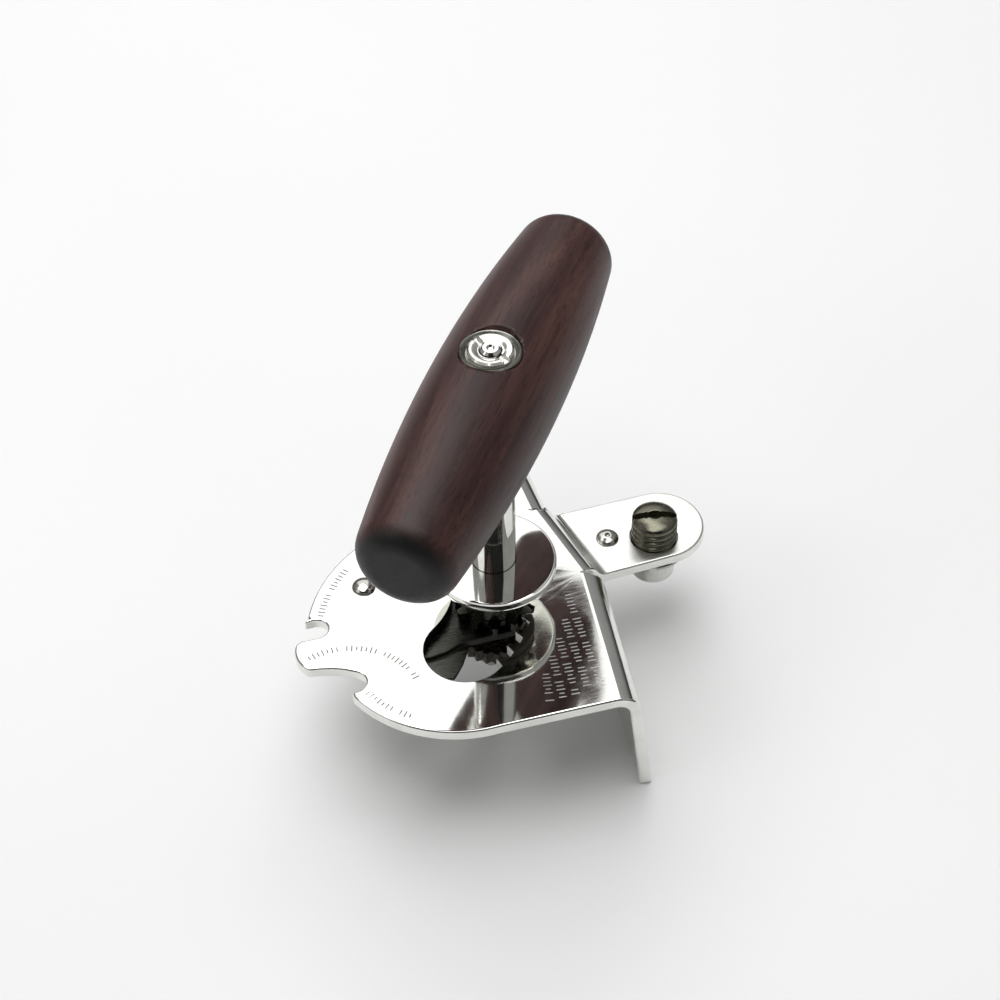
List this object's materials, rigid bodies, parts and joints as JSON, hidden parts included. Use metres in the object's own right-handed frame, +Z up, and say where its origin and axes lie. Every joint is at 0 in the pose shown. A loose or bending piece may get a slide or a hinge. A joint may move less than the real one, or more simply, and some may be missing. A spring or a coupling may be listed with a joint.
{
  "type": "manual can opener",
  "caption": "Hand can opener: stamped plate with toothed slot, side flange and arm, swinging drive shaft with feed wheel, and a wooden T-handle.",
  "frame": {"origin": "middle of the bottom of the part's box, level with the flange's lower edge", "axes": "+Z up along the drive shaft towards the handle, +X along the plate's front edge towards the arm, +Y to the rear"},
  "size_m": [0.1062, 0.0942, 0.1122],
  "materials": {
    "bright_plate": "mirror-bright plated sheet steel",
    "bright_shaft": "mirror-bright plated turned steel",
    "bright_nut": "bright plated turned steel",
    "rivet_steel": "plated steel, lightly brushed",
    "lever_steel": "plated sheet steel, fine brushed",
    "spring_steel": "tempered strip",
    "ground_steel": "hardened and ground",
    "gear_steel": "hardened, oiled dark steel",
    "dark_screw": "olive-dark threaded steel",
    "foot_steel": "satin turned steel",
    "bronze": "sintered bronze",
    "friction_fibre": "pressed dark fibre",
    "dark_wood": "dark stained, satin"
  },
  "bodies": {
    "frame": {"frame_plate": "bright_plate", "pivot_rivet": "rivet_steel", "pivot_washer": "rivet_steel", "cutter_stud": "rivet_steel", "cutter_washer": "rivet_steel", "cutter_nut": "rivet_steel", "arm_rivet": "rivet_steel", "lock_spring": "spring_steel"},
    "cutter": {"cutter_wheel": "ground_steel", "cutter_bush": "bronze"},
    "swing_lever": {"swing_lever": "lever_steel", "bearing_bush": "bronze"},
    "pinion": {"pinion": "gear_steel"},
    "drive": {"drive_shaft": "bright_shaft", "clutch_disc": "bright_shaft", "friction_washer": "friction_fibre", "spacer_bush": "rivet_steel", "feed_wheel": "gear_steel", "feed_washer": "rivet_steel", "feed_nut": "rivet_steel", "handle_grip": "dark_wood", "handle_collar": "bright_shaft", "handle_cup": "rivet_steel", "handle_nut": "bright_nut"},
    "stop": {"stop_screw": "dark_screw", "stop_foot": "foot_steel"}
  },
  "joints": [
    {"name": "lever_swing", "type": "hinge", "parent": "frame", "child": "swing_lever", "pos_m": [-0.03249, 0.013, 0.029], "axis": [0, 0, 1], "range_deg": [-31.5, 5]},
    {"name": "pinion_turn", "type": "hinge", "parent": "swing_lever", "child": "pinion", "pos_m": [-0.00463, 0, 0.033], "axis": [0, 0, 1], "range_deg": [-24, 149.5]},
    {"name": "handle_turn", "type": "hinge", "parent": "swing_lever", "child": "drive", "pos_m": [-0.00463, 0, 0.033], "axis": [0, 0, 1], "continuous": true},
    {"name": "cutter_spin", "type": "hinge", "parent": "frame", "child": "cutter", "pos_m": [-0.00446, -0.02163, 0.025], "axis": [0, 0, 1], "continuous": true},
    {"name": "stop_height", "type": "slide", "parent": "frame", "child": "stop", "axis": [0, 0, 1], "range_m": [-0.004, 0]}
  ],
  "couplings": [
    {"joint": "pinion_turn", "follows": "lever_swing", "ratio": -4.7273}
  ]
}
